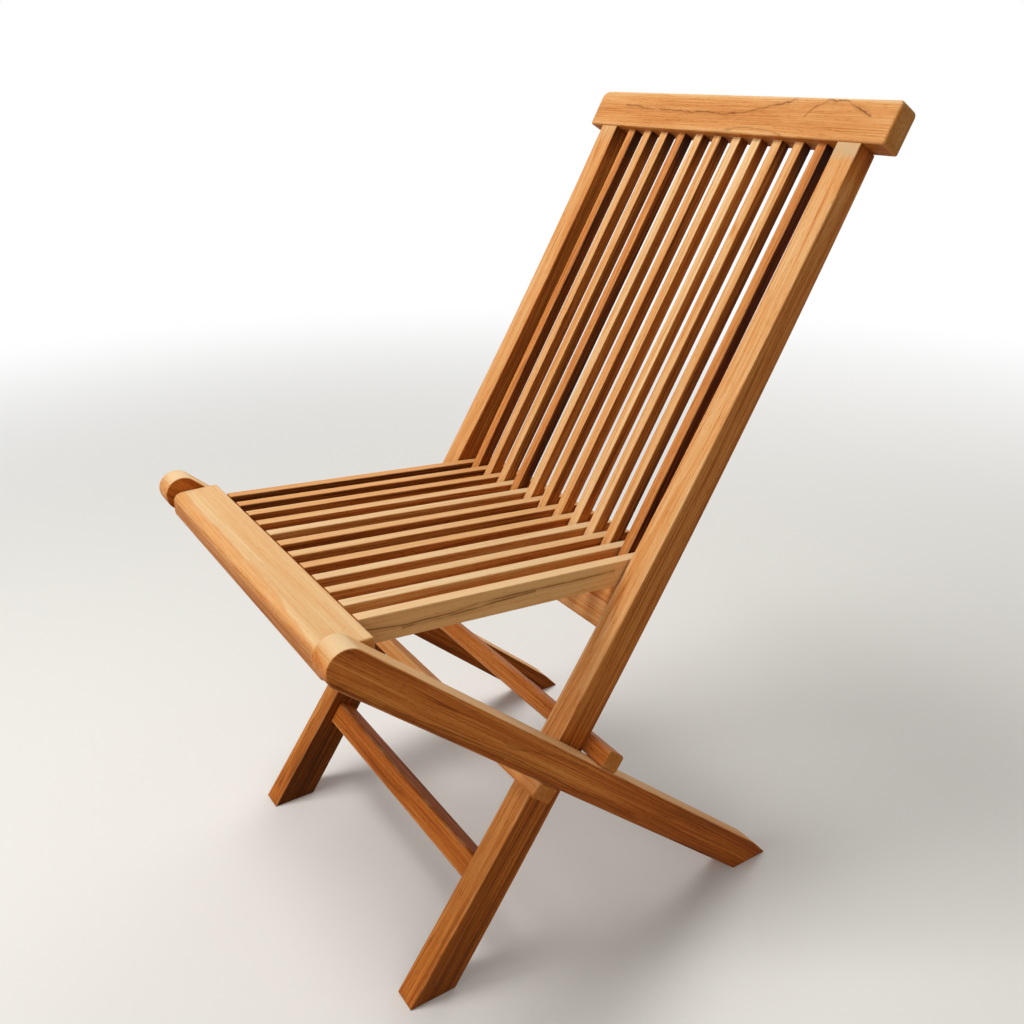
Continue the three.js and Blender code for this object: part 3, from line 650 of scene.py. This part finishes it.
# Rear legs
# Two straight teak boards outside the stiles, crossing them on blind pins. The upper end is a half round
# that stands just proud of the seat's nose, and the back of the foot is eased off.
LEG_SLOPE = math.radians(41.67)
LEG_DEPTH = 0.0399
LEG_REACH = 0.3281
LEG_ARRIS = 0.0016
LEG_ARRIS_MOST = 0.46
LEG_EASE = 0.0003
LEG_RINGS = 70
LEG_ROUND_STEPS = 22
LEG_ROUND_SHARE = 0.985
LEG_ROUND_CUT = 0.3
LEG_VEINS = {"right": [], "left": [
    ([0.010, 0.026, 0.049, 0.076, 0.116, 0.144, 0.175,
      0.215, 0.245, 0.321, 0.360, 0.400, 0.439, 0.480],
     [0.0060, 0.0072, 0.0056, 0.0050, 0.0058, 0.0075, 0.0086,
      0.0103, 0.0116, 0.0102, 0.0081, 0.0107, 0.0074, 0.0049]),
    ([0.018, 0.044, 0.062, 0.087, 0.118, 0.148, 0.200, 0.250],
     [0.0036, 0.0035, 0.0028, 0.0031, 0.0030, 0.0035, 0.0056, 0.0062]),
    ([0.220, 0.232, 0.242, 0.257, 0.287, 0.319, 0.350],
     [0.0231, 0.0202, 0.0207, 0.0253, 0.0327, 0.0353, 0.0392]),
]}
HEEL_EASE_LENGTH = 0.035
HEEL_EASE_SOLE = 0.0062
DOWN_LEG = np.array([0, math.cos(LEG_SLOPE), -math.sin(LEG_SLOPE)])
UP_LEG = np.array([0, math.sin(LEG_SLOPE), math.cos(LEG_SLOPE)])
CROSSING = np.mean(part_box("crossing_pin_left"), axis=0)
CROSSING[0] = 0


def make_leg(hand, seed, tone, redness):
    """At the round end the half depth follows a circle, and the width draws in with the arris near the tip.
    Below, the lower edge runs to the floor and the upper edge turns down where the heel is eased."""
    lowest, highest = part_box(f"leg_{hand}")
    width = highest[0] - lowest[0]
    half = LEG_DEPTH / 2
    middle = CROSSING + np.array([(lowest[0] + highest[0]) / 2, 0, 0])
    turn = np.linspace(LEG_ROUND_SHARE * math.pi / 2, 0, LEG_ROUND_STEPS)
    along = -LEG_REACH - half * np.sin(turn)
    rise = half * np.cos(turn)
    low = middle + along[:, None] * DOWN_LEG - rise[:, None] * UP_LEG
    high = middle + along[:, None] * DOWN_LEG + rise[:, None] * UP_LEG
    depth_left = np.clip(half * (1 - np.sin(turn)), 0, LEG_ARRIS)
    drawn = LEG_ARRIS - np.sqrt(LEG_ARRIS ** 2 - (LEG_ARRIS - depth_left) ** 2)
    toe_along = (middle[2] + half * math.cos(LEG_SLOPE)) / math.sin(LEG_SLOPE)
    toe = middle + toe_along * DOWN_LEG + half * UP_LEG
    heel = middle + (toe_along - HEEL_EASE_LENGTH) * DOWN_LEG + half * UP_LEG
    front_along = (middle[2] - half * math.cos(LEG_SLOPE)) / math.sin(LEG_SLOPE)
    sole_front = middle + front_along * DOWN_LEG - half * UP_LEG
    sole_rear = toe - np.array([0, HEEL_EASE_SOLE, 0])
    share = np.linspace(0, 1, LEG_RINGS)[1:, None]
    lower = low[-1] + share * (sole_front - low[-1])
    straight = np.linalg.norm(heel - high[-1])
    knee = straight / (straight + HEEL_EASE_LENGTH)
    upper = np.where(share < knee, high[-1] + share / knee * (heel - high[-1]),
                     heel + (share - knee) / (1 - knee) * (sole_rear - heel))
    low = np.concatenate([low, lower])
    high = np.concatenate([high, upper])
    widths = np.concatenate([width - 2 * drawn, np.full(len(share), width)])
    depth = np.linalg.norm(high - low, axis=1)
    arris = np.minimum(LEG_ARRIS, LEG_ARRIS_MOST * depth)[:, None]
    cut = np.concatenate([LEG_ROUND_CUT * np.sin(turn) ** 3, np.zeros(len(share))])
    name = f"leg_board_{hand}"
    piece = board(name, low, high, (1, 0, 0), widths, arris, LEG_EASE, seed, LEG_VEINS[hand], cut)
    # Painted light and shade: tops paler, sides and low parts darker.
    season(piece, tone, redness, sky=1.7, shade=0.4, outer=True)
    finish_piece(piece, "leg_frame", f"leg_{hand}")


make_leg("left", 41, 0.11, 0.8)
make_leg("right", 42, 0.06, 0.6)

# Stop bars
# Two teak bars across both rear legs, flush with their outer faces and held by hidden dowels. The upper one
# lies on the legs behind the stiles and stops them when the chair opens. The lower one is under the legs.
UPPER_BAR_FACE = 0.025
UPPER_BAR_DEPTH = 0.0205
LOWER_BAR_FACE = 0.028
LOWER_BAR_DEPTH = 0.0175
LOWER_BAR_PLAY = 0.003
BAR_ARRIS = 0.003
BAR_EASE = 0.0016
BAR_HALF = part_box("upper_stop_bar")[1][0]
CROSSING_HEIGHT = 0.252
HALF_STILE = np.linalg.norm(stile_point(CROSSING_HEIGHT, 1) - stile_point(CROSSING_HEIGHT, 0)) / 2


def along_at_stile(rise, reach):
    """Along the leg, where a plane level with the stile's slope and a reach behind the crossing passes that
    rise: the reach less the rise times the sine of their turn, over its cosine."""
    share = CROSSING_HEIGHT / HEAD_HEIGHT
    turn = LEG_SLOPE - math.atan(FOOT_SLOPE + (HEAD_SLOPE - FOOT_SLOPE) * share)
    return (reach - rise * math.sin(turn)) / math.cos(turn)


def make_stop_bars():
    """Each bar is given by the middles of the face on the leg's edge and of the face away from it."""
    seat = LEG_DEPTH / 2 + JOINT_GAP
    top = seat + UPPER_BAR_DEPTH
    near = along_at_stile(seat, HALF_STILE + JOINT_GAP) + UPPER_BAR_FACE / 2
    far = along_at_stile(top, HALF_STILE + JOINT_GAP) + UPPER_BAR_FACE / 2
    low = CROSSING + near * DOWN_LEG + seat * UP_LEG
    high = CROSSING + far * DOWN_LEG + top * UP_LEG
    piece = cross_rail("upper_bar_board", low, high, DOWN_LEG, UPPER_BAR_FACE, BAR_ARRIS, BAR_HALF,
                       BAR_EASE, 51)
    # Painted shade: the top darkened as a painted shadow, and darker towards the floor.
    season(piece, 0.06, 0.6, sky=-0.4, shade=0.4, outer=True)
    finish_piece(piece, "leg_frame", "upper_stop_bar")
    middle = along_at_stile(-seat, -HALF_STILE - LOWER_BAR_PLAY) - LOWER_BAR_FACE / 2
    low = CROSSING + middle * DOWN_LEG - (seat + LOWER_BAR_DEPTH) * UP_LEG
    high = low + LOWER_BAR_DEPTH * UP_LEG
    piece = cross_rail("lower_bar_board", low, high, DOWN_LEG, LOWER_BAR_FACE, BAR_ARRIS, BAR_HALF,
                       BAR_EASE, 52)
    # Painted shade: darker towards the floor, and sides darker.
    season(piece, 0.04, 0.9, shade=0.2, outer=True)
    finish_piece(piece, "leg_frame", "lower_stop_bar")


make_stop_bars()

# Seat front rail
# A level teak board between the rear legs' upper ends, hung on the seat pins, with a well rounded nose. Its
# top is painted pale, partly as sun bleach and partly as painted light, and its nose is red heartwood. The
# seat slats are tenoned into its back.
FRONT_RAIL_NOSE = 0.0237
FRONT_RAIL_WIDTH = 0.0532
FRONT_RAIL_DEPTH = 0.0286
FRONT_RAIL_ARRISES = [0.0055, 0.003, 0.003, 0.0105]
FRONT_RAIL_EASE = 0.0022
FRONT_RAIL_RINGS = 60
FRONT_RAIL_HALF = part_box("seat_front_rail")[1][0]
HEART_SLANT = 0.6
HEART_RUN_OUT = 0.017


def make_front_rail():
    """A rectangle from the underside to the level top, with a radius of its own at each corner. The nose is
    heartwood: a point's reach from the back edge, plus a share of its depth under the top, is its place
    towards the heart, and less towards the sitter's left, where the heart runs out below."""
    heel = FRONT_RAIL_WIDTH - FRONT_RAIL_NOSE
    top = seat_point(heel, SEAT_RISE)[2]
    place = SEAT_PIVOT[1] + heel - FRONT_RAIL_WIDTH / 2
    low = side_plane(place, top - FRONT_RAIL_DEPTH)
    high = side_plane(place, top)
    places = np.outer(np.linspace(-FRONT_RAIL_HALF, FRONT_RAIL_HALF, FRONT_RAIL_RINGS), (1, 0, 0))
    arris = np.tile(FRONT_RAIL_ARRISES, (len(places), 1))
    piece = board("front_rail_board", low + places, high + places, (0, 1, 0), FRONT_RAIL_WIDTH, arris,
                  FRONT_RAIL_EASE, 61)
    points = points_of(piece)
    heart = place + FRONT_RAIL_WIDTH / 2 - points[:, 1] + HEART_SLANT * (top - points[:, 2])
    heart -= HEART_RUN_OUT * np.clip(points[:, 0] / FRONT_RAIL_HALF, 0, 1) ** 2
    # Painted light and shade: top paler, and only faint painted shade on the turned faces.
    season(piece, 0.06, 0.05, calm=0.6, flank=0.3, heart=heart)
    finish_piece(piece, "seat", "seat_front_rail")


make_front_rail()

# Seat slats and rear rail
# Teak slats on edge run back from the front rail, fall a little to the rear and pass between the back slats.
# Each is notched under its rear end for the rear rail, which ties them behind the back.
SEAT_SLAT_WIDTH = 0.0133
SEAT_SLAT_ARRIS = 0.0012
SEAT_SLAT_RINGS = 50
SEAT_REACH = 0.3970
SEAT_END_RADIUS = 0.005
SEAT_END_STEPS = 8
SEAT_END_SHARE = 0.9
SEAT_END_MOST = 0.99
NOTCH_STEP = 0.0004
OUTER_SLAT_VEINS = [
    ([0.005, 0.016, 0.052, 0.061, 0.095, 0.126, 0.175, 0.235, 0.300],
     [0.0165, 0.0150, 0.0122, 0.0131, 0.0137, 0.0172, 0.0182, 0.0179, 0.0190]),
    ([0.040, 0.080, 0.120, 0.160, 0.200], [0.0100, 0.0108, 0.0125, 0.0150, 0.0165]),
]
REAR_RAIL_WIDTH = 0.017
REAR_RAIL_DROP = 0.013
REAR_RAIL_ARRIS = 0.002
REAR_RAIL_EASE = 0.0012
SEAT_SLATS = sorted(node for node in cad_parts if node.startswith("seat_slat_"))
SEAT_TONES = [0.29, 0.21, 0.17, 0.15, -0.09, 0.14, 0.09, 0.10, -0.06, 0.05, -0.20, -0.38]
SEAT_REDNESS = [0.1, 0.3, 0.2, 0.3, 0.1, 0.3, 0.2, 0.3, 0.1, 0.2, 0.2, 0.8]


def make_seat_slats():
    """The top is straight and rounds off at the rear end. The underside steps up at the notch."""
    front = FRONT_RAIL_WIDTH - FRONT_RAIL_NOSE + JOINT_GAP
    notch = SEAT_REACH - REAR_RAIL_WIDTH - JOINT_GAP
    turn = np.linspace(0, SEAT_END_SHARE * math.pi / 2, SEAT_END_STEPS)
    rounding = SEAT_REACH - SEAT_END_RADIUS + SEAT_END_RADIUS * np.sin(turn)
    plain = np.linspace(front, notch, SEAT_SLAT_RINGS)
    reach = np.concatenate([plain, [notch + NOTCH_STEP], rounding, [SEAT_REACH]])
    past = np.clip(reach - (SEAT_REACH - SEAT_END_RADIUS), 0, SEAT_END_MOST * SEAT_END_RADIUS)
    drop = SEAT_END_RADIUS - np.sqrt(SEAT_END_RADIUS ** 2 - past ** 2)
    notch_rise = SEAT_RISE - REAR_RAIL_DROP + JOINT_GAP
    under = np.where(reach <= notch, SEAT_RISE - SEAT_SLAT_DEPTH, notch_rise)
    last = len(SEAT_SLATS) - 1
    for index, (node, tone, redness) in enumerate(zip(SEAT_SLATS, SEAT_TONES, SEAT_REDNESS)):
        lowest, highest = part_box(node)
        middle = (lowest[0] + highest[0]) / 2
        low = seat_point(reach, under, middle)
        high = seat_point(reach, SEAT_RISE - drop, middle)
        veins = OUTER_SLAT_VEINS if index == last else []
        piece = board(f"seat_slat_board_{index + 1:02d}", low, high, (1, 0, 0), SEAT_SLAT_WIDTH,
                      SEAT_SLAT_ARRIS, SHOULDER_EASE, 200 + index, veins)
        # Painted light and shade: tops paler, sides darker, less so on the outer slats' outward sides.
        season(piece, tone, redness, flank=0.7, outer=index in (0, last))
        finish_piece(piece, "seat", node)


def make_rear_rail():
    """A bar in the slats' notches, flush with their undersides and rear ends."""
    reach = SEAT_REACH - REAR_RAIL_WIDTH / 2
    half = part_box("seat_rear_rail")[1][0]
    across = np.array([0, math.cos(SEAT_TILT), -math.sin(SEAT_TILT)])
    low = seat_point(reach, SEAT_RISE - SEAT_SLAT_DEPTH)
    high = seat_point(reach, SEAT_RISE - REAR_RAIL_DROP)
    piece = cross_rail("rear_rail_board", low, high, across, REAR_RAIL_WIDTH, REAR_RAIL_ARRIS, half,
                       REAR_RAIL_EASE, 71)
    season(piece, 0.08, 0.4)
    finish_piece(piece, "seat", "seat_rear_rail")


make_seat_slats()
make_rear_rail()

# Pins, washers and dowels
# Brass pins join stile to leg and leg to seat, blind in the wood, with a brass washer in the gap at each
# crossing. Plain wooden dowels hold the stop bars. Only the washers' rims can be seen.
def rubbed_brass(name):
    """Brass dulled unevenly by handling, in soft clouds on the piece's own coordinates."""
    material, tree = blank_material(name)
    place = placed(tree, "ShaderNodeTexCoord", {}).outputs["Object"]
    dulled = cloud(tree, place, (220, 220, 220), 4.0).outputs["Fac"]
    colour = ramp(tree, dulled, [(0.3, tint("C9A45A")), (0.7, tint("8E6D38"))])
    rough = eased(tree, dulled, 0.3, 0.7, 0.28, 0.5)
    skin = placed(tree, "ShaderNodeBsdfPrincipled", {"Base Color": colour, "Roughness": rough,
                                                     "Metallic": 1.0})
    placed(tree, "ShaderNodeOutputMaterial", {0: skin.outputs[0]})
    return material


def dowel_wood(name):
    """Bare wood of fine straight fibre on the piece's own coordinates."""
    material, tree = blank_material(name)
    place = placed(tree, "ShaderNodeTexCoord", {}).outputs["Object"]
    fibre = cloud(tree, place, (900, 60, 60), 3.0).outputs["Fac"]
    colour = ramp(tree, fibre, [(0.3, tint("C79458")), (0.7, tint("9C6A38"))])
    skin = placed(tree, "ShaderNodeBsdfPrincipled", {"Base Color": colour, "Roughness": 0.7})
    placed(tree, "ShaderNodeOutputMaterial", {0: skin.outputs[0]})
    return material


def finish_hardware():
    """The CAD pins, washers and dowels keep their shape and get their finish."""
    brass = rubbed_brass("rubbed_brass")
    wood = dowel_wood("dowel_wood")
    for node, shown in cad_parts.items():
        if "_pin_" in node or "_washer_" in node:
            shown.data.materials.clear()
            shown.data.materials.append(brass)
        elif "_dowel_" in node:
            shown.data.materials.clear()
            shown.data.materials.append(wood)


finish_hardware()

# Studio
# A pale floor that fades to white away from the chair, one strong soft lamp high over the front, three
# weaker ones low in front, behind and at the camera's side, and an even white surround.
FLOOR_HALF = 9.0
FLOOR_DROP = 0.0005
FLOOR_BOUNCE = (0.46, 0.42, 0.36, 1)
FLOOR_SEEN = (0.88, 0.86, 0.81, 1)
FADE_START = 0.9
FADE_END = 3.2
SURROUND_FILL = 0.19
LAMP_AIM = Vector((0, 0, 0.45))


def seen_directly(tree):
    """One for camera, glossy and transmission rays, and nothing for the rays that light the chair."""
    ray = placed(tree, "ShaderNodeLightPath", {}).outputs
    mirrored = sums(tree, "MAXIMUM", ray["Is Camera Ray"], ray["Is Glossy Ray"])
    return sums(tree, "MAXIMUM", mirrored, ray["Is Transmission Ray"])


def make_floor():
    """A flat square just under the feet. Its own shade keeps the shadow near the chair, and further out it
    passes into plain white for the camera."""
    mesh = bpy.data.meshes.new("studio_floor")
    corners = CORNERS * FLOOR_HALF
    mesh.from_pydata([(x, y, -FLOOR_DROP) for x, y in corners.tolist()], [], [(0, 1, 2, 3)])
    floor = bpy.data.objects.new("studio_floor", mesh)
    bpy.context.scene.collection.objects.link(floor)
    material, tree = blank_material("studio_floor")
    place = placed(tree, "ShaderNodeTexCoord", {}).outputs["Object"]
    far = placed(tree, "ShaderNodeVectorMath", {0: place}, operation="LENGTH").outputs["Value"]
    seen = seen_directly(tree)
    whitened = sums(tree, "MULTIPLY", eased(tree, far, FADE_START, FADE_END), seen)
    colour = blended(tree, seen, FLOOR_BOUNCE, FLOOR_SEEN)
    matt = placed(tree, "ShaderNodeBsdfDiffuse", {"Color": colour}).outputs[0]
    white = placed(tree, "ShaderNodeEmission", {"Color": (1, 1, 1, 1), "Strength": 1.0}).outputs[0]
    mixed = placed(tree, "ShaderNodeMixShader", {0: whitened, 1: matt, 2: white})
    placed(tree, "ShaderNodeOutputMaterial", {0: mixed.outputs[0]})
    mesh.materials.append(material)


def make_surround():
    """An even world: white to the camera and in reflections, and a weaker even fill for the light."""
    world = bpy.data.worlds.new("studio")
    bpy.context.scene.world = world
    world.use_nodes = True
    tree = world.node_tree
    tree.nodes.clear()
    strength = sums(tree, "MULTIPLY_ADD", seen_directly(tree), 1.0 - SURROUND_FILL, SURROUND_FILL)
    surround = placed(tree, "ShaderNodeBackground", {"Color": (1, 1, 1, 1), "Strength": strength})
    placed(tree, "ShaderNodeOutputWorld", {0: surround.outputs[0]})


def add_lamp(name, place, size, power):
    """A square soft lamp that faces the seat."""
    lamp = bpy.data.lights.new(name, "AREA")
    lamp.size = size
    lamp.energy = power
    held = bpy.data.objects.new(name, lamp)
    held.location = place
    held.rotation_euler = (LAMP_AIM - Vector(place)).to_track_quat("-Z", "Y").to_euler()
    bpy.context.scene.collection.objects.link(held)


make_floor()
make_surround()
add_lamp("key_lamp", (-0.6, -0.9, 3.0), 1.2, 54)
add_lamp("front_lamp", (-0.3, -2.6, 1.0), 1.8, 22)
add_lamp("back_lamp", (-1.2, 2.1, 1.9), 1.6, 19)
add_lamp("side_lamp", (2.6, -1.0, 1.5), 2.0, 14)
bpy.context.scene.view_settings.view_transform = "Standard"
